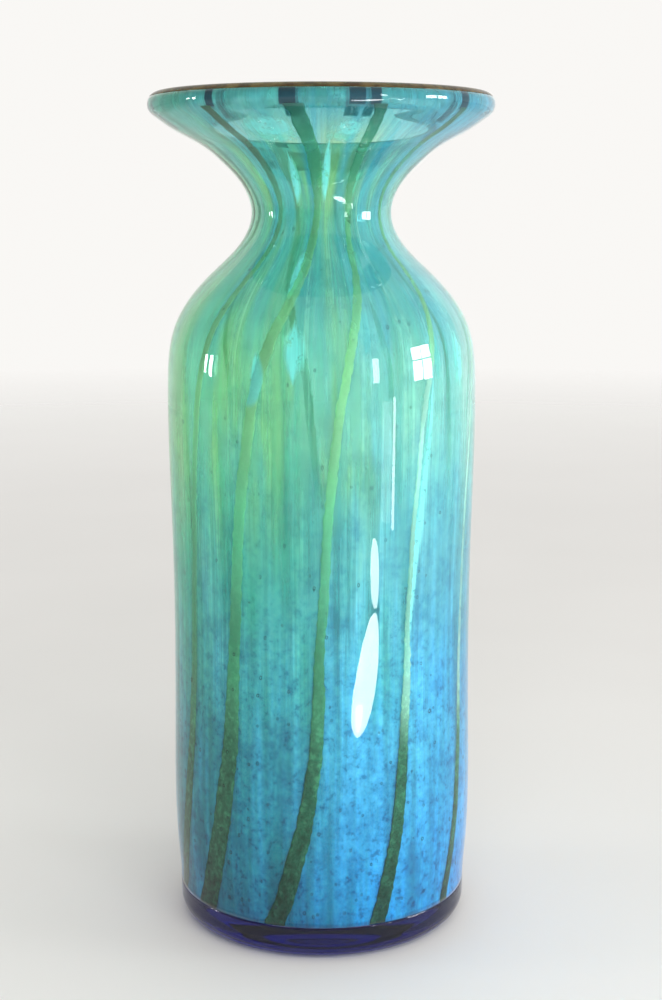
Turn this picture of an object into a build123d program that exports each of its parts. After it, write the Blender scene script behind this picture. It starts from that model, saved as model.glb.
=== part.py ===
from build123d import *
from math import cos, degrees, radians, sin
import os

# Tall cased-glass vase: a near-cylindrical body, a round shoulder, a pinched neck and a wide
# trumpet lip.  The wall is built up as a glassblower gathers it: a turquoise colour liner on the
# inside, green trails laid on its outside, a clear casing gathered over both, a cobalt pad under
# the bottom and an amber thread wrapped on the lip.
# Millimetres, +Z up, origin at the centre of the resting face.  Casing, liner, foot and lip are cut
# from one section of the wall and meet face to face.  The trails, and the clear glass between them,
# lie in a slot of the casing with a hairline all round.

# ---- driving dimensions ----
height = 230.0
lip_radius = 46.65  # widest point of the lip, at the middle of its bead
bead_radius = 3.3  # rolled bead round the mouth
bead_join = -55.0  # where the trumpet runs into the bead, in degrees from the horizontal
bead_turn = 20.0  # slant of the bead's outside, halfway between its join and its crest
bead_roll = 108.0  # slant where the bead has rolled over to the inside of the mouth
wrap_height = 1.4  # amber thread, measured down from the crest of the bead
foot_height = 10.0  # cobalt pad, from the resting face to the bottom of the coloured wall
foot_radius = 40.8
foot_corner = 6.0  # fire-polished corner between the wall and the resting face
well_radius = 22.0  # ground hollow under the foot, where the punty was broken off
well_depth = 1.2
floor_dip = 1.5  # the inside floor sags towards its centre

wall_thickness = 3.4  # clear glass and colour together
casing_thickness = 1.9  # clear glass outside the colour
casing_thickness_at_lip = 1.6
thickening_from = 206.0  # above this height the wall thickens smoothly into the bead
trail_thickness = 0.8
trail_play = 0.08  # hairline round every trail, so that neighbouring solids never bite

# Outside of the wall above the foot: (radius, height), bottom to top.
wall_stations = [
    (41.4, 20.0),  # the wall leans out a little above the foot
    (41.8, 60.0),
    (41.8, 110.0),  # faint waist
    (42.4, 152.0),  # fullest part, just under the shoulder
    (40.2, 168.0),  # round shoulder
    (30.2, 182.0),  # shoulder turns over into the neck
    (20.4, 193.0),
    (19.0, 198.0),  # narrowest part of the neck
    (21.6, 206.0),
    (26.0, 211.0),
    (32.0, 216.0),  # the trumpet opens out
    (40.2, 220.5),
]

# Every trail leans the same way round the axis: (height, degrees).
trail_lean = [
    (10.0, -18.5),  # flicked sideways at the foot
    (18.0, -14.0),
    (36.0, -6.8),
    (57.0, -2.4),
    (88.0, 0.0),
    (116.0, 2.0),
    (150.0, 6.6),
    (169.0, 12.5),
    (184.0, 19.4),
    (199.0, 24.0),  # furthest round, in the neck
    (214.0, 22.5),
    (230.0, 18.0),
]
upright_level = 88.0  # the height where no trail leans
# Broad at the foot, drawn out to a thread at the neck, fanned out again at the lip:
# (height, share of the breadth at the foot).
trail_taper = [
    (10.0, 1.0),
    (57.0, 0.66),
    (88.0, 0.44),
    (169.0, 0.42),
    (199.0, 0.22),
    (230.0, 0.75),
]
# Each trail: (degrees round the axis at mid-height, breadth at the foot, share of the lean
# below mid-height, share above it).
trails = [
    (0.0, 5.6, 1.0, 1.0),
    (34.0, 4.6, 0.64, 1.0),
    (67.0, 3.6, 0.5, 1.0),
    (103.0, 5.6, 0.8, 0.9),
    (142.0, 4.8, 1.1, 1.0),
    (180.0, 6.2, 0.9, 1.1),
    (219.0, 4.6, 1.0, 0.85),
    (259.0, 5.4, 0.8, 1.1),
    (303.0, 5.0, 0.9, 0.9),
    (325.5, 7.4, 0.95, 1.33),
]

dish_share = 0.75  # a round dish keeps this much of its depth halfway out
line_steps = 24  # stations along an inset wall line
strip_steps = 70  # level sections of a trail, from the foot to the bead
halvings = 30  # of a wall line, when a height is looked up on it

bead_centre = Vector(lip_radius - bead_radius, 0, height - bead_radius)
headroom = Vector(0, 0, height + 10.0)  # clear of the crest, for regions that run past it


def round_bead(radius, slant):
    """A point of the XZ section at a distance and an angle from the middle of the bead."""
    angle = radians(slant)
    return bead_centre + Vector(cos(angle), 0, sin(angle)) * radius


def read(table, at):
    """Straight-line value between the rows of a (position, value) table."""
    for (low, first), (high, last) in zip(table, table[1:]):
        if at <= high:
            return first + (last - first) * max(0.0, at - low) / (high - low)
    return table[-1][1]


def outer_line():
    """Outside of the wall, from the top of the foot to the bead."""
    middle = [(radius, 0, level) for radius, level in wall_stations]
    join = radians(bead_join)
    return Spline(
        (foot_radius, 0, foot_height),
        *middle,
        round_bead(bead_radius, bead_join),
        tangents=[(0, 0, 1), (-sin(join), 0, cos(join))],
    )


def inset_line(line, depth_below, depth_at_lip):
    """A line inside the wall, whose depth changes smoothly above the neck."""
    top = (line @ 1).Z
    points = []
    for step in range(line_steps + 1):
        place = line @ (step / line_steps)
        along = line % (step / line_steps)
        share = max(0.0, (place.Z - thickening_from) / (top - thickening_from))
        depth = depth_below + (depth_at_lip - depth_below) * share * share * (3 - 2 * share)
        points.append(place + Vector(-along.Z, 0, along.X) * depth)
    return Spline(*points, tangents=[(0, 0, 1), line % 1])


def region(*edges):
    """Flat face inside a closed run of edges."""
    return Face(Wire(list(edges)))


def band(low, high):
    """Everything in the section between two heights."""
    reach = lip_radius + 10.0
    corners = [(0, 0, low), (reach, 0, low), (reach, 0, high), (0, 0, high)]
    return Face(Wire.make_polygon([Vector(corner) for corner in corners]))


def dish(centre_level, edge):
    """Shallow round dish from the axis to its edge, level at the axis."""
    halfway = Vector(edge.X / 2, 0, edge.Z + (centre_level - edge.Z) * dish_share)
    return ThreePointArc((0, 0, centre_level), halfway, edge)


def vessel_region(wall):
    """The whole vase as if it were solid: foot, wall and bead."""
    corner_start = Vector(foot_radius - foot_corner, 0, 0)
    corner_end = Vector(foot_radius, 0, foot_corner)
    half_turn = radians(45)  # halfway round a quarter circle
    corner_middle = corner_start + Vector(sin(half_turn), 0, 1 - cos(half_turn)) * foot_corner
    crest = round_bead(bead_radius, 90)
    return region(
        dish(well_depth, Vector(well_radius, 0, 0)),
        Line((well_radius, 0, 0), corner_start),
        ThreePointArc(corner_start, corner_middle, corner_end),
        Line(corner_end, wall @ 0),
        wall,
        ThreePointArc(wall @ 1, round_bead(bead_radius, 0), crest),
        Line(crest, (0, 0, height)),
        Line((0, 0, height), (0, 0, well_depth)),
    )


def hollow_region(inside):
    """The space inside the vase, from its floor up through the mouth."""
    floor_level = foot_height - floor_dip
    crest = round_bead(bead_radius, 90)
    return region(
        dish(floor_level, inside @ 0),
        inside,
        ThreePointArc(inside @ 1, round_bead(bead_radius, bead_roll), crest),
        Line(crest, (crest.X, 0, headroom.Z)),
        Line((crest.X, 0, headroom.Z), headroom),
        Line(headroom, (0, 0, floor_level)),
    )


def region_inside(line, depth_at_lip):
    """Everything nearer the axis than an inset wall line and its turn round the bead."""
    radius = bead_radius - depth_at_lip
    top = round_bead(radius, 90)
    return region(
        Line((0, 0, foot_height), line @ 0),
        line,
        ThreePointArc(line @ 1, round_bead(radius, bead_turn), top),
        Line(top, (top.X, 0, headroom.Z)),
        Line((top.X, 0, headroom.Z), headroom),
        Line(headroom, (0, 0, foot_height)),
    )


def turned(section):
    """The section spun round the axis of the vase."""
    return revolve(section, axis=Axis.Z)


def radius_at(line, level):
    """Radius of a rising wall line at a height, by halving."""
    low, high = 0.0, 1.0
    for _ in range(halvings):
        middle = (low + high) / 2
        if (line @ middle).Z < level:
            low = middle
        else:
            high = middle
    return (line @ low).X


def on_circle(radius, azimuth, level):
    """A point at an angle round the axis, counted to the right from the front."""
    angle = radians(azimuth)
    return Vector(radius * sin(angle), -radius * cos(angle), level)


def strip(levels, edges):
    """A solid that fills the trail layer between two leaning edges, given in degrees by level."""
    sections = []
    for (level, low_radius, high_radius), (start, end) in zip(levels, edges):
        middle = (start + end) / 2
        inner = [on_circle(low_radius, azimuth, level) for azimuth in (start, middle, end)]
        outer = [on_circle(high_radius, azimuth, level) for azimuth in (end, middle, start)]
        sections.append(
            region(
                ThreePointArc(*inner),
                Line(inner[2], outer[0]),
                ThreePointArc(*outer),
                Line(outer[2], inner[0]),
            )
        )
    return loft(sections)


def trail_edges(levels, azimuth, breadth, lean_below, lean_above):
    """Left and right edge of a trail, in degrees, at every level."""
    edges = []
    for level, low_radius, _ in levels:
        half = degrees(breadth * read(trail_taper, level) / 2 / low_radius)
        share = lean_below if level < upright_level else lean_above
        centre = azimuth + share * read(trail_lean, level)
        edges.append((centre - half, centre + half))
    return edges


def infill_edges(levels, left_edges, right_edges):
    """Edges of the clear glass between two neighbouring trails, a hairline clear of both."""
    edges = []
    for (_, low_radius, _), left, right in zip(levels, left_edges, right_edges):
        hairline = degrees(trail_play / low_radius)
        edges.append((left[1] + hairline, right[0] - hairline))
    return edges


def save(node, shape):
    """Write one sub-part under its own name."""
    shape.label = node
    export_step(shape, f"parts/{node}.step")


os.makedirs("parts", exist_ok=True)

wall = outer_line()
inside = inset_line(wall, wall_thickness, 2 * bead_radius)
colour_line = inset_line(wall, casing_thickness, casing_thickness_at_lip)
cover = casing_thickness - trail_thickness  # clear glass left over a trail
cover_at_lip = casing_thickness_at_lip - trail_thickness
trail_line = inset_line(wall, cover, cover_at_lip)
trail_top = (colour_line @ 1).Z

glass = vessel_region(wall) - hollow_region(inside)
coloured_glass = glass & band(foot_height, height - wrap_height)
colour_side = region_inside(colour_line, casing_thickness_at_lip)
trail_side = region_inside(trail_line, cover_at_lip)
trail_slot = trail_side & band(foot_height, trail_top)

levels = []  # (height, inner radius, outer radius) of the trail layer
for step in range(strip_steps + 1):
    level = min((colour_line @ (step / strip_steps)).Z, trail_top - trail_play)
    nearer = radius_at(colour_line, level) + trail_play
    farther = radius_at(trail_line, level) - trail_play
    levels.append((level, nearer, farther))

all_edges = [trail_edges(levels, *trail) for trail in trails]
first_again = [(left + 360.0, right + 360.0) for left, right in all_edges[0]]
for number, edges in enumerate(all_edges, start=1):
    save(f"trail_{number:02d}", strip(levels, edges))
infill = [
    strip(levels, infill_edges(levels, left, right))
    for left, right in zip(all_edges, all_edges[1:] + [first_again])
]
save("clear_infill", Compound(infill))
save("clear_casing", turned(coloured_glass - colour_side - trail_slot))
save("colour_liner", turned(coloured_glass & colour_side))
save("cobalt_foot", turned(glass & band(0, foot_height)))
save("lip_wrap", turned(glass & band(height - wrap_height, height)))
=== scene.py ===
import math
import random
from types import SimpleNamespace

import bmesh
import bpy
import numpy as np
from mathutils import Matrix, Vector, noise


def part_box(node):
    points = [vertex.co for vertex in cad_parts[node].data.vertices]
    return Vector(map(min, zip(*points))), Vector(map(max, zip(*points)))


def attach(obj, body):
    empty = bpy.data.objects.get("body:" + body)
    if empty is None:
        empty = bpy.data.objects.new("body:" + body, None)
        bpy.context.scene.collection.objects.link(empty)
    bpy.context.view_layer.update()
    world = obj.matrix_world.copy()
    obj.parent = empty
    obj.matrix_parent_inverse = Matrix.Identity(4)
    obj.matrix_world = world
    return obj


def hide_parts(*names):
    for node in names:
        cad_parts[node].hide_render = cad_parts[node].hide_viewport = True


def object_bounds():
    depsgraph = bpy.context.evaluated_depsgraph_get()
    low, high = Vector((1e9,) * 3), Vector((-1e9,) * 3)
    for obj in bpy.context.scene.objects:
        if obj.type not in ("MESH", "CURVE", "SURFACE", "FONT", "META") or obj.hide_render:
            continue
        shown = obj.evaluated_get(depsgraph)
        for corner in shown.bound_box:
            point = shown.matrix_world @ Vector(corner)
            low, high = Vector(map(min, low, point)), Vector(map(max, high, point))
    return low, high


# A tall hand-blown vase: clear casing over green trails and a turquoise colour liner, on a cobalt
# foot, with an amber thread round the lip.  Metres, +Z up, resting on the floor at the origin.
# Azimuths are degrees round the axis, counted to the right from the front (-Y).

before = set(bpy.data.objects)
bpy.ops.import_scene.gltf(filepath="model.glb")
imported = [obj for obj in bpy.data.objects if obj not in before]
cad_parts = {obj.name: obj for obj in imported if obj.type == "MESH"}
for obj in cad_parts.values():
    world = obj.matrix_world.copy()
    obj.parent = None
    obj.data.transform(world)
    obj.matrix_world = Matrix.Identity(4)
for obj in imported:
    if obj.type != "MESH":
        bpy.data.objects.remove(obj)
cad_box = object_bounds()
random.seed(11)

MM = 0.001
HEIGHT = cad_box[1].z

# ---- walls, read from the CAD nodes ----

def wall_line(node, side):
    """(height, radius) rows of a turned node's outside (side 1) or inside (side -1), bottom to top."""
    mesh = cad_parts[node].data
    rows = {}
    for face in mesh.polygons:
        middle, normal = face.center, face.normal
        outward = (middle.x * normal.x + middle.y * normal.y) / math.hypot(middle.x, middle.y)
        if side * outward > 0.05:
            for index in face.vertices:
                place = mesh.vertices[index].co
                rows[round(place.z, 6)] = math.hypot(place.x, place.y)
    return np.array(sorted(rows.items()))


def radius_on(line, height):
    """Radius of a wall line at a height."""
    return float(np.interp(height, line[:, 0], line[:, 1]))


def evenly(line, low, high, spacing):
    """(radius, height) points along a wall line between two heights, evenly spaced."""
    heights = [low, *[z for z in line[:, 0] if low < z < high], high]
    points = np.array([(radius_on(line, z), z) for z in heights])
    length = np.concatenate(([0.0], np.cumsum(np.hypot(*np.diff(points, axis=0).T))))
    steps = np.linspace(0.0, length[-1], max(2, round(length[-1] / spacing)) + 1)
    return [(float(r), float(z)) for r, z in zip(
        np.interp(steps, length, points[:, 0]), np.interp(steps, length, points[:, 1]))]


outer_wall = wall_line("clear_casing", 1)
colour_wall = wall_line("colour_liner", 1)
inner_wall = wall_line("colour_liner", -1)
wrap_outside = wall_line("lip_wrap", 1)
wrap_inside = wall_line("lip_wrap", -1)
foot_outside = wall_line("cobalt_foot", 1)
FOOT_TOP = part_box("cobalt_foot")[1].z
WRAP_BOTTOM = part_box("lip_wrap")[0].z
TRAIL_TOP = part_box("trail_01")[1].z
HAIRLINE = 0.03 * MM  # between the meshes of two layers that are fused
SEGMENTS = 160  # round every turned piece
WOBBLE = 0.10 * MM  # of the hand-worked walls
WALL_STEP = 1.0 * MM  # between the rings of points on a wall
TRAIL_DEPTH = 0.68 * MM  # how far a trail stands off the colour liner
TRAIL_SEAT = 0.06 * MM  # from the colour liner to the underside of a trail
BUBBLES = 400
BUBBLE_TOP = 198 * MM
WHITE = (1.0, 1.0, 1.0)


# ---- mesh helpers ----

def wobble(place, depth):
    """How far a hand-worked surface sinks below the true turned one at a place."""
    slow = noise.noise(place * 22.0)
    quick = noise.noise(place * 70.0 + Vector((5.0, 1.0, 9.0)))
    return depth * (0.5 + 0.42 * slow + 0.12 * quick)


def turned(outline, depth=0.0):
    """Vertices and faces of a closed outline spun round Z, its sides worked by hand.

    The outline is (radius, height, material slot) rows, up the outside and down the inside; a row's
    slot is that of the faces up to the next row.  A point on the axis becomes one shared vertex.
    """
    places, rings, faces, slots = [], [], [], []
    for radius, height, _ in outline:
        count = 1 if radius < 1e-6 else SEGMENTS
        rings.append([len(places) + step for step in range(count)])
        for step in range(count):
            angle = 2 * math.pi * step / SEGMENTS
            way = Vector((math.sin(angle), -math.cos(angle), 0.0))
            place = way * radius + Vector((0.0, 0.0, height))
            places.append(place - way * wobble(place, depth) if depth and count > 1 else place)
    for one, two, (_, _, slot) in zip(rings, rings[1:] + rings[:1], outline):
        if len(one) == len(two) == 1:
            continue
        for step in range(SEGMENTS):
            after = (step + 1) % SEGMENTS
            corners = (one[step % len(one)], one[after % len(one)],
                       two[after % len(two)], two[step % len(two)])
            faces.append(tuple(dict.fromkeys(corners)))
            slots.append(slot)
    return places, faces, slots


def piece(name, body, materials, slot, *stands_for):
    """Makes a visible piece of the vase from (vertices, faces, material slots)."""
    places, faces, slots = body
    mesh = bpy.data.meshes.new(name)
    mesh.from_pydata(places, [], faces)
    for material in materials:
        mesh.materials.append(material)
    mesh.polygons.foreach_set("material_index", slots)
    mesh.polygons.foreach_set("use_smooth", [True] * len(faces))
    mesh.update()
    made = bpy.data.objects.new(name, mesh)
    bpy.context.scene.collection.objects.link(made)
    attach(made, "root")
    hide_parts(*stands_for)
    return made


def bubble_shape():
    """Vertices and inward faces of a small round hollow, one unit in radius."""
    bm = bmesh.new()
    bmesh.ops.create_icosphere(bm, subdivisions=1, radius=1.0)
    places = [vert.co.copy() for vert in bm.verts]
    faces = [tuple(vert.index for vert in face.verts)[::-1] for face in bm.faces]
    bm.free()
    return places, faces


# ---- material helpers ----

class Tree:
    """Short hand for building a material's nodes."""

    def __init__(self, name):
        self.material = bpy.data.materials.new(name)
        self.material.use_nodes = True
        self.nodes = self.material.node_tree.nodes
        self.links = self.material.node_tree.links
        self.nodes.clear()
        self.place = self.add("TexCoord").outputs["Object"]

    def add(self, kind, inputs=None, **settings):
        node = self.nodes.new("ShaderNode" + kind)
        for key, value in settings.items():
            setattr(node, key, value)
        for key, value in (inputs or {}).items():
            self.put(node.inputs[key], value)
        return node

    def put(self, socket, value):
        """Links a socket to the input, or sets it to a number, a vector or a colour."""
        if isinstance(value, bpy.types.NodeSocket):
            self.links.new(value, socket)
        elif socket.type == "RGBA":
            socket.default_value = (*value, 1.0)
        else:
            socket.default_value = value

    def maths(self, operation, *values, clamp=False):
        node = self.add("Math", operation=operation, use_clamp=clamp)
        for socket, value in zip(node.inputs, values):
            self.put(socket, value)
        return node.outputs[0]

    def ramp(self, value, *stops):
        """Number to number or colour, through (position, level) stops."""
        node = self.add("ValToRGB", {"Fac": value})
        node.color_ramp.interpolation = "EASE"
        points = node.color_ramp.elements
        while len(points) < len(stops):
            points.new(0.5)
        for point, (position, _) in zip(points, stops):
            point.position = position
        for point, (_, level) in zip(points, stops):
            colour = level if isinstance(level, tuple) else (level, level, level)
            point.color = (*colour, 1.0)
        return node.outputs["Color"]

    def spread(self, value, low, high, to_low=0.0, to_high=1.0):
        """Number to number in a straight line, level past both ends."""
        node = self.add("MapRange", {
            "Value": value, "From Min": low, "From Max": high, "To Min": to_low, "To Max": to_high})
        return node.outputs["Result"]

    def mix(self, share, one, two, how="MIX"):
        node = self.add("Mix", data_type="RGBA", blend_type=how)
        self.put(node.inputs["Factor"], share)
        self.put(node.inputs["A"], one)
        self.put(node.inputs["B"], two)
        return node.outputs["Result"]

    def shader_mix(self, share, one, two):
        node = self.add("MixShader")
        self.put(node.inputs[0], share)
        self.links.new(one, node.inputs[1])
        self.links.new(two, node.inputs[2])
        return node.outputs[0]

    def noise(self, scale, stretch=(1.0, 1.0, 1.0), detail=3.0, roughness=0.55, vector=None):
        """Noise of about scale lumps to the metre, drawn out by stretch."""
        scales = tuple(scale * share for share in stretch)
        moved = self.add("Mapping", {"Vector": vector or self.place, "Scale": scales})
        node = self.add("TexNoise", {
            "Vector": moved.outputs[0], "Scale": 1.0, "Detail": detail, "Roughness": roughness})
        return node.outputs["Fac"]

    def finish(self, surface, volume=None):
        output = self.add("OutputMaterial")
        self.links.new(surface, output.inputs["Surface"])
        if volume:
            self.links.new(volume, output.inputs["Volume"])
        return self.material


def azimuth_of(tree, x, y):
    return tree.maths("ARCTAN2", x, tree.maths("MULTIPLY", y, -1.0))


def distance_from_axis(tree, x, y):
    flat = tree.add("CombineXYZ", {"X": x, "Y": y}).outputs[0]
    return tree.add("VectorMath", {0: flat}, operation="LENGTH").outputs["Value"]


def lets_lamps_in(tree, glass, tint):
    """The glass shader, but clear to the rays that look for lamps, so that what is inside is lit."""
    path = tree.add("LightPath").outputs["Is Shadow Ray"]
    clear = tree.add("BsdfTransparent", {"Color": tint}).outputs[0]
    return tree.shader_mix(path, glass, clear)


def milky(tree, colour, share):
    """Milky glass that lets a share of its light through."""
    front = tree.add("BsdfDiffuse", {"Color": colour})
    through = tree.add("BsdfTranslucent", {"Color": colour})
    return tree.shader_mix(share, front.outputs[0], through.outputs[0])


# ---- glass ----

def clear_glass():
    """Outside of the casing, faintly corded along the axis."""
    tree = Tree("clear_glass")
    cords = tree.noise(60.0, (1.0, 1.0, 0.12), detail=2.0)
    bump = tree.add("Bump", {"Height": cords, "Strength": 0.06, "Distance": 0.4 * MM})
    glass = tree.add("BsdfPrincipled", {
        "Base Color": (0.98, 1.0, 0.99), "Roughness": 0.0, "IOR": 1.5,
        "Transmission Weight": 1.0, "Normal": bump.outputs[0]})
    return tree.finish(lets_lamps_in(tree, glass.outputs[0], (0.96, 0.98, 0.97)))


def seed_wall():
    """Inside of a trapped bubble: clear in the middle, with painted shade: dark where the glass turns the
    light back.
    """
    tree = Tree("seed_bubble")
    facing = tree.add("LayerWeight", {"Blend": 0.5}).outputs["Facing"]
    edge = tree.ramp(facing, (0.12, 0.0), (0.4, 1.0))
    middle = tree.add("BsdfTransparent", {"Color": (0.92, 1.0, 1.0)}).outputs[0]
    # painted shade: a dark rim stands in for the light the glass turns back; the glint is a real gloss
    painted_dark_rim = tree.add("BsdfDiffuse", {"Color": (0.0, 0.03, 0.05)}).outputs[0]
    glint = tree.add("BsdfGlossy", {"Color": WHITE, "Roughness": 0.05}).outputs[0]
    return tree.finish(tree.shader_mix(edge, middle, tree.shader_mix(0.2, painted_dark_rim, glint)))


def fused():
    """Where two layers of glass are fused there is nothing to see."""
    tree = Tree("fused_joint")
    return tree.finish(tree.add("BsdfTransparent", {"Color": WHITE}).outputs[0])


# Lens-shaped places where the colour is thin, painted bright as a glow of light shining through:
# (azimuth in degrees, height, half breadth, half height, lean in degrees per mm), lengths in mm.
THIN_SPOTS_PAINTED_GLOW = [
    (-24.2, 157.5, 1.5, 7.5, 0.0),
    (-10.0, 163.5, 3.2, 8.5, 0.0),
    (39.0, 118.0, 1.7, 42.0, 0.157),
    (-12.6, 182.0, 1.9, 7.5, 0.3),
    (-18.9, 207.5, 1.3, 7.5, 0.12),
    (3.2, 209.5, 1.3, 8.5, 0.12),
    (-20.0, 220.6, 9.0, 2.6, 0.0),
    (11.0, 220.2, 4.5, 2.4, 0.0),
    (62.0, 160.0, 2.0, 8.0, 0.0),
    (118.0, 158.0, 2.2, 9.0, 0.1),
    (160.0, 164.0, 2.4, 8.0, 0.0),
    (-95.0, 160.0, 2.0, 9.0, 0.1),
    (-150.0, 150.0, 2.2, 8.0, 0.0),
    (150.0, 209.0, 1.4, 8.0, 0.12),
    (-120.0, 210.0, 1.4, 7.0, 0.12),
]


# Where the ends of the trails are rolled into the bead: (azimuth, half breadth), in degrees.
TRAIL_ENDS = [
    (-37.5, 1.9), (-10.3, 3.0), (11.6, 3.0), (17.6, 2.1), (53.0, 2.3), (88.0, 2.2), (119.0, 2.8),
    (160.0, 2.4), (-160.0, 3.2), (-126.0, 2.4), (-81.0, 2.9),
]
END_BLUR = 0.5  # degrees over which the side of an end fades


def trail_ends(tree, x, y, z):
    """How much a place lies in the rolled-in end of a trail, from 0 to 1."""
    azimuth = azimuth_of(tree, x, y)
    found = 0.0
    for turn, breadth in TRAIL_ENDS:
        across = tree.maths("ABSOLUTE", tree.maths("SUBTRACT", azimuth, math.radians(turn)))
        inside = tree.spread(across, math.radians(breadth), math.radians(breadth - END_BLUR))
        found = tree.maths("MAXIMUM", found, inside)
    return tree.maths("MULTIPLY", found, tree.spread(z, TRAIL_TOP - 0.5 * MM, TRAIL_TOP))


def thin_spots_painted_glow(tree, x, y, z, ragged):
    """How much a place lies in one of the thin spots with a painted glow, from 0 to 1."""
    azimuth = azimuth_of(tree, x, y)
    radius = distance_from_axis(tree, x, y)
    found = -1.0
    for turn, level, breadth, tall, lean in THIN_SPOTS_PAINTED_GLOW:
        up = tree.maths("SUBTRACT", z, level * MM)
        slant = tree.maths("MULTIPLY", up, math.radians(lean) / MM)
        across = tree.maths("SUBTRACT", tree.maths("SUBTRACT", azimuth, math.radians(turn)), slant)
        across = tree.maths("ABSOLUTE", tree.maths("MULTIPLY", across, radius))
        across = tree.maths("DIVIDE", across, breadth * MM)
        rise = tree.maths("POWER", tree.maths("ABSOLUTE", tree.maths("DIVIDE", up, tall * MM)), 2.0)
        inside = tree.maths("SUBTRACT", 1.0, tree.maths("ADD", across, rise))
        found = tree.maths("MAXIMUM", found, inside)
    return tree.spread(tree.maths("ADD", found, ragged), 0.0, 0.5)


def strand_place(tree, z):
    """Coordinates in which noise runs in strands up the wall."""
    way = tree.add("VectorMath", {0: tree.place, 1: (1.0, 1.0, 0.0)}, operation="MULTIPLY")
    way = tree.add("VectorMath", {0: way.outputs[0]}, operation="NORMALIZE").outputs[0]
    rise = tree.add("CombineXYZ", {"Z": tree.maths("MULTIPLY", z, 6.0)}).outputs[0]
    return tree.add("VectorMath", {0: way, 1: rise}, operation="ADD").outputs[0]


def liner_marks(tree):
    """Where the streaks, patches and spots of the liner lie, as named sockets."""
    at = SimpleNamespace()
    x, y, z = tree.add("SeparateXYZ", {"Vector": tree.place}).outputs
    at.height = tree.spread(z, 0.0, HEIGHT)
    strands = strand_place(tree, z)
    at.broad = tree.noise(2.6, vector=strands, detail=2.0)
    at.fine = tree.noise(12.0, (1.0, 1.0, 0.16), vector=strands, detail=4.0)
    at.threads = tree.noise(22.0, (1.0, 1.0, 0.10), vector=strands, detail=5.0, roughness=0.7)
    at.grain = tree.noise(500.0, (1.0, 1.0, 0.85), detail=4.0, roughness=0.75)

    # from 0, the green side on the left, to 1, the blue side on the right
    side = tree.maths("ADD", tree.spread(x, -0.042, 0.042), tree.spread(at.broad, 0.3, 0.7, -0.35, 0.35))
    at.side = tree.maths("ADD", side, tree.spread(at.fine, 0.3, 0.7, -0.25, 0.25), clamp=True)

    # yellow-green patches in the upper half, but not on the right
    meadow = tree.noise(5.0, (1.0, 1.0, 0.55), vector=strands, detail=3.0)
    leaf = tree.ramp(at.height, (0.42, 0.0), (0.62, 0.75), (0.8, 0.5), (0.9, 0.9), (0.95, 0.8), (0.98, 0.1))
    leaf = tree.maths("MULTIPLY", leaf, tree.spread(meadow, 0.47, 0.6, 0.0, 0.85))
    at.leaf = tree.maths("MULTIPLY", leaf, tree.spread(x, 0.034, 0.006))

    # drawn-out streaks, closer together in some places than in others
    gather = tree.noise(4.0, (1.0, 1.0, 0.5), vector=strands, detail=2.0)
    drawn = tree.ramp(at.height, (0.0, 0.15), (0.25, 0.35), (0.42, 0.9), (0.75, 0.9), (0.9, 0.7))
    at.drawn = tree.maths("MULTIPLY", drawn, tree.spread(gather, 0.38, 0.6, 0.15, 1.0))

    # deeper colour down the right side
    at.edge = tree.maths("MULTIPLY", tree.spread(x, 0.025, 0.036),
                         tree.ramp(at.height, (0.12, 0.5), (0.28, 1.0), (0.44, 0.8), (0.56, 0.0)))

    # thin spots painted bright, as a glow of light shining through the colour
    spots = thin_spots_painted_glow(tree, x, y, z, tree.spread(at.threads, 0.3, 0.7, -0.35, 0.25))
    at.spots = tree.maths("MULTIPLY", spots, tree.ramp(at.grain, (0.36, 0.35), (0.46, 1.0)))
    at.ends = trail_ends(tree, x, y, z)
    return at


def liner_colour(tree, at):
    """Colour of the milky glass: green above and on the left, blue below and on the right. The green on the
    left is partly painted shade: it is kept darker, most of all low down, as the side away from the window.
    """
    # painted shade: the green left side is darker than the blue right side, most of all low down
    green = tree.ramp(at.height, (0.0, (0.006, 0.16, 0.28)), (0.2, (0.015, 0.31, 0.38)),
                      (0.42, (0.08, 0.62, 0.46)), (0.65, (0.30, 0.74, 0.48)), (1.0, (0.14, 0.55, 0.46)))
    blue = tree.ramp(at.height, (0.0, (0.012, 0.35, 0.80)), (0.3, (0.08, 0.54, 0.84)),
                     (0.5, (0.22, 0.66, 0.74)), (0.68, (0.36, 0.78, 0.78)), (1.0, (0.12, 0.50, 0.66)))
    colour = tree.mix(at.side, green, blue)
    colour = tree.mix(at.leaf, colour, (0.36, 0.70, 0.28))
    streak = tree.ramp(at.threads, (0.36, (0.62, 0.74, 0.76)), (0.5, WHITE), (0.66, (1.6, 1.25, 1.2)))
    colour = tree.mix(at.drawn, colour, tree.mix(1.0, colour, streak, "MULTIPLY"))
    low = tree.ramp(at.height, (0.0, 1.0), (0.28, 0.85), (0.5, 0.3), (0.75, 0.12))
    mottle = tree.ramp(at.grain, (0.34, (0.24, 0.45, 0.57)), (0.47, (0.95, 0.97, 1.0)),
                       (0.64, (1.6, 1.25, 1.12)))
    colour = tree.mix(low, colour, tree.mix(1.0, colour, mottle, "MULTIPLY"))
    cloud = tree.noise(150.0, (1.0, 1.0, 0.75), detail=5.0, roughness=0.7)
    shade = tree.ramp(cloud, (0.36, (0.50, 0.66, 0.76)), (0.56, (1.08, 1.06, 1.05)))
    colour = tree.mix(0.75, colour, tree.mix(1.0, colour, shade, "MULTIPLY"))
    colour = tree.mix(at.edge, colour, tree.mix(1.0, colour, (0.70, 0.76, 0.82), "MULTIPLY"))
    # painted glow: the thin spots are painted bright cyan
    colour = tree.mix(at.spots, colour, (0.34, 0.97, 0.95))
    return tree.mix(at.ends, colour, (0.022, 0.09, 0.13))


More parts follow.
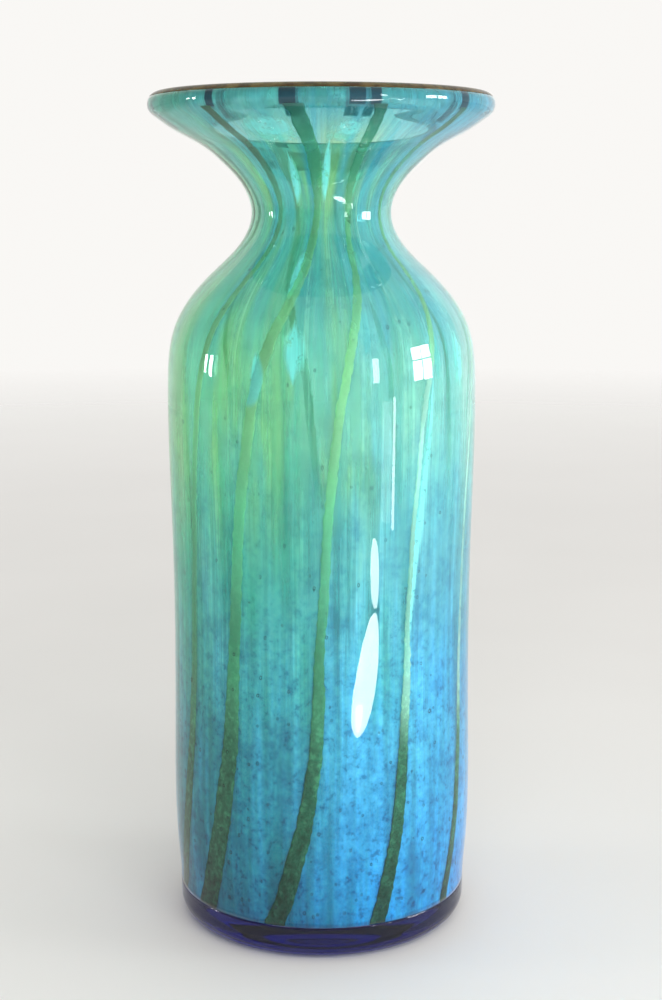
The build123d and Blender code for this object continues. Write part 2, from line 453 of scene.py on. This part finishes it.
def liner_milkiness(tree, at):
    """How milky the glass is, from 0 to 1: dense low down, thin above."""
    thick = tree.ramp(at.height, (0.0, 0.95), (0.25, 0.88), (0.42, 0.55), (0.6, 0.28), (0.72, 0.22),
                      (0.84, 0.22), (0.95, 0.22), (1.0, 0.5))
    thick = tree.maths("ADD", thick, tree.spread(at.fine, 0.3, 0.7, -0.2, 0.2))
    streaks = tree.maths("MULTIPLY", at.drawn, tree.spread(at.threads, 0.35, 0.65, -0.2, 0.2))
    thick = tree.maths("ADD", thick, streaks)
    thick = tree.maths("ADD", thick, tree.spread(at.broad, 0.3, 0.7, -0.12, 0.12))
    # the thin spots with painted glow are made milkier, so that their bright painted colour shows
    thick = tree.maths("ADD", thick, tree.maths("MULTIPLY", at.spots, 0.45))
    return tree.maths("ADD", thick, at.ends, clamp=True)


def liner_tint(tree, at):
    """Tint of the clear glass between the milk."""
    left = tree.ramp(at.height, (0.4, (0.24, 0.74, 0.62)), (0.65, (0.50, 0.88, 0.74)),
                     (0.8, (0.27, 0.69, 0.61)), (1.0, (0.30, 0.78, 0.76)))
    right = tree.ramp(at.height, (0.4, (0.24, 0.72, 0.90)), (0.65, (0.54, 0.88, 0.90)),
                      (0.8, (0.27, 0.69, 0.85)), (1.0, (0.26, 0.74, 0.92)))
    tint = tree.mix(at.side, left, right)
    tint = tree.mix(at.leaf, tint, (0.62, 0.84, 0.48))
    tint = tree.mix(at.edge, tint, (0.24, 0.66, 0.80))
    return tree.mix(at.spots, tint, (0.55, 0.97, 0.97))


def colour_glass(name, open_to_air):
    """Turquoise liner: milky and mottled low down, clearer and streaked above."""
    tree = Tree(name)
    at = liner_marks(tree)
    milk = milky(tree, liner_colour(tree, at), tree.ramp(at.height, (0.0, 0.12), (0.3, 0.2), (0.6, 0.5)))
    tint = liner_tint(tree, at)
    one_side = tree.add("Gamma", {"Color": tint, "Gamma": 0.5}).outputs[0]
    if open_to_air:
        glass = tree.add("BsdfPrincipled", {
            "Base Color": tint, "Roughness": 0.0, "IOR": 1.5, "Transmission Weight": 1.0})
        clear = lets_lamps_in(tree, glass.outputs[0], one_side)
    else:
        clear = tree.add("BsdfTransparent", {"Color": one_side}).outputs[0]
    return tree.finish(tree.shader_mix(liner_milkiness(tree, at), clear, milk))


def trail_glass():
    """Green glass powder drawn into a trail: dark and speckled low down, yellow-green above."""
    tree = Tree("green_glass")
    x, y, z = tree.add("SeparateXYZ", {"Vector": tree.place}).outputs
    height = tree.spread(z, 0.0, HEIGHT)
    grain = tree.noise(560.0, (1.0, 1.0, 0.8), detail=4.0, roughness=0.8)
    cloud = tree.noise(120.0, (1.0, 1.0, 0.3), detail=2.0)
    base = tree.ramp(height, (0.0, (0.013, 0.085, 0.06)), (0.2, (0.035, 0.24, 0.13)),
                     (0.36, (0.11, 0.54, 0.30)), (0.48, (0.24, 0.76, 0.48)), (0.68, (0.46, 0.84, 0.50)),
                     (0.84, (0.26, 0.68, 0.38)), (0.94, (0.14, 0.50, 0.32)), (1.0, (0.02, 0.14, 0.16)))
    # painted light: the run towards the window is painted paler at mid-height, as where the window lights
    # it
    painted_window_light = tree.maths("MULTIPLY", tree.spread(x, 0.014, 0.026), tree.spread(y, 0.0, -0.01))
    painted_window_light = tree.maths("MULTIPLY", painted_window_light, tree.ramp(height, (0.24, 0.0), (0.34, 1.0), (0.66, 1.0), (0.74, 0.0)))
    base = tree.mix(painted_window_light, base, (0.62, 0.96, 0.86))
    # painted glow: the run left of the front is broken by a thin turquoise lens just under the shoulder,
    # painted bright as where light shines through it
    beside = tree.maths("POWER", tree.spread(x, -0.0222, -0.0142, -1.0, 1.0), 2.0)
    above = tree.maths("POWER", tree.spread(z, 0.1495, 0.1655, -1.0, 1.0), 2.0)
    lens = tree.maths("SUBTRACT", 1.0, tree.maths("ADD", beside, above))
    lens = tree.maths("MULTIPLY", tree.spread(lens, 0.0, 0.3), tree.spread(y, 0.0, -0.01))
    base = tree.mix(lens, base, (0.40, 0.96, 0.92))
    # the run that turns away to the left in the trumpet is the darkest there
    away = tree.maths("MULTIPLY", tree.spread(x, -0.009, -0.013), tree.spread(y, 0.004, -0.002))
    away = tree.maths("MULTIPLY", away, tree.ramp(height, (0.8, 0.0), (0.86, 0.85), (0.95, 0.6)))
    base = tree.mix(away, base, (0.06, 0.20, 0.09))
    speck = tree.ramp(grain, (0.36, (0.5, 0.55, 0.55)), (0.5, WHITE), (0.64, (2.3, 2.0, 1.9)))
    low = tree.ramp(height, (0.0, 1.0), (0.2, 0.8), (0.34, 0.25), (0.5, 0.1))
    colour = tree.mix(low, base, tree.mix(1.0, base, speck, "MULTIPLY"))
    shade = tree.ramp(cloud, (0.3, (0.7, 0.75, 0.75)), (0.7, (1.15, 1.1, 1.1)))
    colour = tree.mix(1.0, colour, shade, "MULTIPLY")
    thin = tree.ramp(height, (0.26, 0.0), (0.42, 0.5), (0.6, 0.45), (0.8, 0.6), (0.93, 0.55), (1.0, 0.1))
    thin = tree.maths("ADD", thin, tree.spread(cloud, 0.35, 0.65, -0.15, 0.15), clamp=True)
    clear = tree.add("BsdfTransparent", {"Color": tree.mix(0.65, colour, WHITE)}).outputs[0]
    return tree.finish(tree.shader_mix(thin, milky(tree, colour, 0.5), clear))


def cobalt_glass():
    """Deep blue glass, faintly swirled."""
    tree = Tree("cobalt_glass")
    swirl = tree.noise(60.0, (1.0, 1.0, 2.0))
    colour = tree.ramp(swirl, (0.3, (0.26, 0.30, 0.88)), (0.7, (0.36, 0.40, 1.0)))
    glass = tree.add("BsdfPrincipled", {
        "Base Color": colour, "Roughness": 0.01, "IOR": 1.5, "Transmission Weight": 1.0})
    deep = tree.add("VolumeAbsorption", {"Color": (0.05, 0.05, 0.78), "Density": 110.0})
    return tree.finish(lets_lamps_in(tree, glass.outputs[0], (0.05, 0.05, 0.35)), deep.outputs[0])


def amber_glass():
    """Amber thread on the outside of the crest, running out into teal towards the mouth."""
    tree = Tree("amber_glass")
    x, y, _ = tree.add("SeparateXYZ", {"Vector": tree.place}).outputs
    cloud = tree.noise(250.0)
    wander = tree.spread(tree.noise(60.0), 0.3, 0.7, -0.8 * MM, 0.8 * MM)
    edge = tree.maths("ADD", distance_from_axis(tree, x, y), wander)
    amber = tree.ramp(cloud, (0.35, (0.10, 0.05, 0.012)), (0.65, (0.26, 0.15, 0.04)))
    teal = tree.ramp(cloud, (0.35, (0.03, 0.20, 0.20)), (0.65, (0.07, 0.36, 0.34)))
    colour = tree.mix(tree.spread(edge, 41.6 * MM, 43.0 * MM), teal, amber)
    front = tree.add("BsdfPrincipled", {
        "Base Color": colour, "Roughness": 0.04, "IOR": 1.5, "Transmission Weight": 0.4})
    through = tree.add("BsdfTranslucent", {"Color": colour})
    return tree.finish(tree.shader_mix(0.35, front.outputs[0], through.outputs[0]))


# ---- pieces ----

def with_slot(points, slot):
    """Gives (radius, height) points their material slot."""
    return [(radius, height, slot) for radius, height in points]


def make_casing():
    """Clear glass from the foot to the lip wrap, with seed bubbles as hollows in the same mesh."""
    low, high = FOOT_TOP + HAIRLINE, WRAP_BOTTOM - HAIRLINE
    outside = evenly(outer_wall, low, high, WALL_STEP)
    inside = [(radius + HAIRLINE, height) for radius, height in evenly(colour_wall, low, high, WALL_STEP)]
    outline = with_slot(outside[:-1], 0) + with_slot(outside[-1:] + inside[::-1], 1)
    places, faces, slots = turned(outline, WOBBLE)
    round_places, round_faces = bubble_shape()
    lowest = FOOT_TOP + 3 * MM
    for _ in range(BUBBLES):
        height = lowest + random.random() ** 1.6 * (BUBBLE_TOP - lowest)
        azimuth = random.uniform(0, 2 * math.pi)
        size = random.uniform(0.26, 0.48) * MM
        nearest = radius_on(colour_wall, height) + TRAIL_DEPTH + 1.1 * size
        farthest = radius_on(outer_wall, height) - 1.1 * size - WOBBLE
        radius = random.uniform(nearest, farthest)
        middle = Vector((radius * math.sin(azimuth), -radius * math.cos(azimuth), height))
        stretch = random.uniform(1.0, 1.5)
        first = len(places)
        places += [middle + Vector((p.x, p.y, p.z * stretch)) * size for p in round_places]
        faces += [tuple(first + index for index in face) for face in round_faces]
        slots += [2] * len(round_faces)
    materials = clear_glass(), FUSED, seed_wall()
    piece("casing", (places, faces, slots), materials, "clear_glass", "clear_casing", "clear_infill")


def make_liner():
    """Turquoise glass inside the casing and the trails, open to the air on its inside."""
    low, high = FOOT_TOP + HAIRLINE, WRAP_BOTTOM - HAIRLINE
    outside = evenly(colour_wall, low, high, WALL_STEP)
    inside = evenly(inner_wall, low, high, WALL_STEP)
    outline = with_slot(outside[:-1], 0) + with_slot(outside[-1:], 2)
    outline += with_slot(inside[:0:-1], 1) + with_slot(inside[:1], 2)
    materials = colour_glass("turquoise_glass", False), colour_glass("turquoise_glass_inside", True), FUSED
    piece("liner", turned(outline, WOBBLE), materials, "turquoise_glass", "colour_liner")


def trail_route(node):
    """(height, middle azimuth, half breadth as an angle) up a CAD trail, in radians."""
    places = np.array([vert.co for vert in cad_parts[node].data.vertices])
    middle = np.arctan2(places[:, 0].mean(), -places[:, 1].mean())
    angles = np.arctan2(places[:, 0], -places[:, 1]) - middle
    angles = (angles + np.pi) % (2 * np.pi) - np.pi
    rows = {}
    for height, angle in zip(places[:, 2], angles):
        rows.setdefault(round(float(height), 4), []).append(angle)
    return np.array([(height, middle + (min(found) + max(found)) / 2, (max(found) - min(found)) / 2)
                     for height, found in sorted(rows.items()) if len(found) > 7])


def make_trail(node, material):
    """A closed strip of green glass between the liner and the casing, rounded and ragged at its edges."""
    route = trail_route(node)
    steps, across = 340, 10
    low, high = FOOT_TOP + 0.1 * MM, TRAIL_TOP - 0.1 * MM
    phase = random.uniform(0, 100)

    def edge(half, ragged, height, slow_row, quick_row):
        """Half breadth of the strip on one side, as an angle."""
        breadth = half * (1 + 0.10 * noise.noise(Vector((phase, slow_row, height * 90))))
        return breadth + ragged * noise.noise(Vector((phase, quick_row, height * 700)))

    places, faces = [], []
    for step in range(steps + 1):
        height = low + (high - low) * step / steps
        centre = np.interp(height, route[:, 0], route[:, 1])
        half = np.interp(height, route[:, 0], route[:, 2])
        near = radius_on(colour_wall, height) + TRAIL_SEAT
        ragged = 0.32 * MM / near
        wander = 0.5 * MM / near * noise.noise(Vector((phase, 0.0, height * 45)))
        left = edge(half, ragged, height, 3.0, 7.0)
        right = edge(half, ragged, height, 5.0, 9.0)
        for turn in range(across):
            angle = 2 * math.pi * turn / across
            reach, lift = math.cos(angle), math.sin(angle)
            azimuth = centre + wander + (right if reach > 0 else left) * reach
            fullness = 0.8 if lift > 0 else 1.5
            radius = near + (TRAIL_DEPTH - TRAIL_SEAT) * (0.5 + 0.5 * lift) ** fullness
            places.append((radius * math.sin(azimuth), -radius * math.cos(azimuth), height))
    for step in range(steps):
        for turn in range(across):
            one, after = step * across + turn, step * across + (turn + 1) % across
            faces.append((one, one + across, after + across, after))
    faces.append(tuple(range(across)))
    faces.append(tuple(range(steps * across, steps * across + across))[::-1])
    piece("green_" + node, (places, faces, [0] * len(faces)), (material,), "green_glass", node)


def make_foot():
    """Solid cobalt pad: rounded corner, ground hollow underneath and a dished floor inside."""
    top = FOOT_TOP - HAIRLINE
    sides = evenly(foot_outside, foot_outside[0, 0], top, 0.6 * MM)
    floor_edge = radius_on(inner_wall, FOOT_TOP)
    dip, well_depth, well_radius = 1.5 * MM, 1.2 * MM, 22 * MM
    floor = [(floor_edge * share, top - dip * (1 - share * share)) for share in np.linspace(1, 0, 30)]
    well = [(well_radius * share, well_depth * (1 - share * share)) for share in np.linspace(0, 1, 20)]
    outline = with_slot(well + sides[:-1], 0) + with_slot(sides[-1:], 1) + with_slot(floor, 0)
    piece("foot", turned(outline, WOBBLE), (cobalt_glass(), FUSED), "cobalt_glass", "cobalt_foot")


def make_wrap():
    """Amber thread on the crest of the lip."""
    outside = evenly(wrap_outside, WRAP_BOTTOM + HAIRLINE, HEIGHT, 0.25 * MM)
    inside = evenly(wrap_inside, WRAP_BOTTOM + HAIRLINE, HEIGHT, 0.25 * MM)
    outline = with_slot(outside + inside[:0:-1], 0) + with_slot(inside[:1], 1)
    piece("amber_wrap", turned(outline, WOBBLE), (amber_glass(), FUSED), "amber_glass", "lip_wrap")


FUSED = fused()
make_casing()
make_liner()
trail_material = trail_glass()
for trail in sorted(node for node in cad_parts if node.startswith("trail_")):
    make_trail(trail, trail_material)
make_foot()
make_wrap()


# ---- floor, light and camera ----

def make_stage():
    """Pale round floor that fades out into the pale surroundings."""
    radius, edges = 2.5, 64
    turns = [2 * math.pi * step / edges for step in range(edges)]
    ring = [(radius * math.sin(turn), radius * math.cos(turn), 0.0) for turn in turns]
    mesh = bpy.data.meshes.new("floor")
    mesh.from_pydata(ring, [], [tuple(range(edges))[::-1]])
    tree = Tree("pale_floor")
    plain = tree.ramp(tree.noise(3.0), (0.3, (0.80, 0.79, 0.77)), (0.7, (0.84, 0.83, 0.81)))
    far = tree.add("VectorMath", {0: tree.place}, operation="LENGTH").outputs["Value"]
    fade = tree.spread(far, 0.35, 1.6)
    floor_shader = tree.add("BsdfPrincipled", {"Base Color": plain, "Roughness": 0.7}).outputs[0]
    nothing = tree.add("BsdfTransparent").outputs[0]
    mesh.materials.append(tree.finish(tree.shader_mix(fade, floor_shader, nothing)))
    floor = bpy.data.objects.new("floor", mesh)
    bpy.context.scene.collection.objects.link(floor)


def lamp(name, azimuth, elevation, distance, width, height, radiance, colour=WHITE):
    """Soft rectangular lamp that faces the middle of the vase; radiance is how bright it looks."""
    aim = Vector((0.0, 0.0, 0.12))
    turn, lift = math.radians(azimuth), math.radians(elevation)
    way = Vector((math.sin(turn) * math.cos(lift), -math.cos(turn) * math.cos(lift), math.sin(lift)))
    data = bpy.data.lights.new(name, "AREA")
    data.shape = "RECTANGLE"
    data.size, data.size_y = width, height
    data.energy = radiance * math.pi * width * height
    data.color = colour
    made = bpy.data.objects.new(name, data)
    made.location = aim + way * distance
    made.rotation_euler = way.to_track_quat("Z", "Y").to_euler()
    made.visible_camera = False
    bpy.context.scene.collection.objects.link(made)
    return made


def card(name, shape, size, place, turn, radiance):
    """A small bright reflector for the glass to mirror, hidden from the camera."""
    data = bpy.data.lights.new(name, "AREA")
    data.shape = shape
    data.size, data.size_y = size
    data.energy = radiance * math.pi * data.size * data.size_y
    made = bpy.data.objects.new(name, data)
    made.location = place
    made.rotation_euler = turn
    made.visible_camera = False
    bpy.context.scene.collection.objects.link(made)


def standing_card(azimuth, distance, width, low, high, radiance):
    """Upright card that faces the vase and is mirrored in its side as a streak."""
    turn = math.radians(azimuth)
    place = (distance * math.sin(turn), -distance * math.cos(turn), (low + high) / 2)
    card("standing_card", "RECTANGLE", (width, high - low), place, (math.pi / 2, 0.0, turn), radiance)


def floor_card(x, y, turn, width, length, radiance):
    """Oval card that lies on the floor, face up."""
    facing = (math.pi, 0.0, math.radians(turn))
    card("floor_card", "ELLIPSE", (width, length), (x, y, 2 * MM), facing, radiance)


def fill(azimuth, elevation, size, radiance):
    """Big soft lamp that lights the colour but leaves no mirror image in the glass."""
    made = lamp("soft_fill", azimuth, elevation, 1.2, size, size, radiance)
    made.visible_glossy = False
    made.visible_transmission = False


def make_light():
    """Pale surroundings, brighter behind and to the right, and the windows that the glass mirrors."""
    world = bpy.data.worlds.new("studio")
    world.use_nodes = True
    nodes, links = world.node_tree.nodes, world.node_tree.links
    place = nodes.new("ShaderNodeTexCoord")
    brightness = nodes.new("ShaderNodeVectorMath")
    brightness.operation = "DOT_PRODUCT"
    brightness.inputs[1].default_value = (0.24, 0.30, 0.0)
    links.new(place.outputs["Generated"], brightness.inputs[0])
    level = nodes.new("ShaderNodeMath")
    level.inputs[1].default_value = 0.68
    links.new(brightness.outputs["Value"], level.inputs[0])
    seen = nodes.new("ShaderNodeMix")
    links.new(nodes.new("ShaderNodeLightPath").outputs["Is Camera Ray"], seen.inputs["Factor"])
    links.new(level.outputs[0], seen.inputs["A"])
    seen.inputs["B"].default_value = 0.95
    links.new(seen.outputs["Result"], nodes["Background"].inputs["Strength"])
    nodes["Background"].inputs["Color"].default_value = (1.0, 0.985, 0.96, 1.0)
    bpy.context.scene.world = world
    cool = (0.94, 0.98, 1.0)
    for side in (-1, 1):
        lamp("window_pane", 79 + 4.6 * side, 4, 1.6, 0.23, 0.23, 26.0, cool)
        upper = lamp("window_pane", 79 + 4.6 * side, 13, 1.6, 0.23, 0.23, 26.0, cool)
        upper.visible_diffuse = False  # one pair of panes is light enough for the colour
    lamp("window_edge", 40, 7, 1.6, 0.13, 0.36, 12.0, cool)
    lamp("lamp_left", -88, 5, 1.6, 0.09, 0.26, 40.0)
    lamp("lamp_left_edge", -93.6, 5, 1.6, 0.06, 0.22, 40.0)
    standing_card(51.7, 0.397, 0.014, 0.030, 0.125, 12.0)
    standing_card(46.5, 0.41, 0.055, 0.030, 0.120, 1.6)
    floor_card(0.278, -0.347, 36, 0.05, 0.09, 11.0)
    floor_card(0.172, -0.268, 66, 0.075, 0.17, 13.0)
    floor_card(0.135, -0.262, 40, 0.025, 0.10, 9.0)
    fill(12, 25, 1.2, 2.2)
    fill(70, 20, 1.0, 0.5)


def make_camera():
    """Camera at about the height of the lip, looking slightly down."""
    data = bpy.data.cameras.new("camera")
    data.lens = 59.76
    data.sensor_width = 36.0
    made = bpy.data.objects.new("camera", data)
    made.location = (0.0026, -0.4573, 0.2013)
    look_down = math.radians(10.19)
    made.rotation_euler = (math.pi / 2 - look_down, 0.0, 0.0)
    bpy.context.scene.collection.objects.link(made)
    bpy.context.scene.camera = made


make_stage()
make_light()
make_camera()
bpy.context.scene.view_settings.view_transform = "Standard"
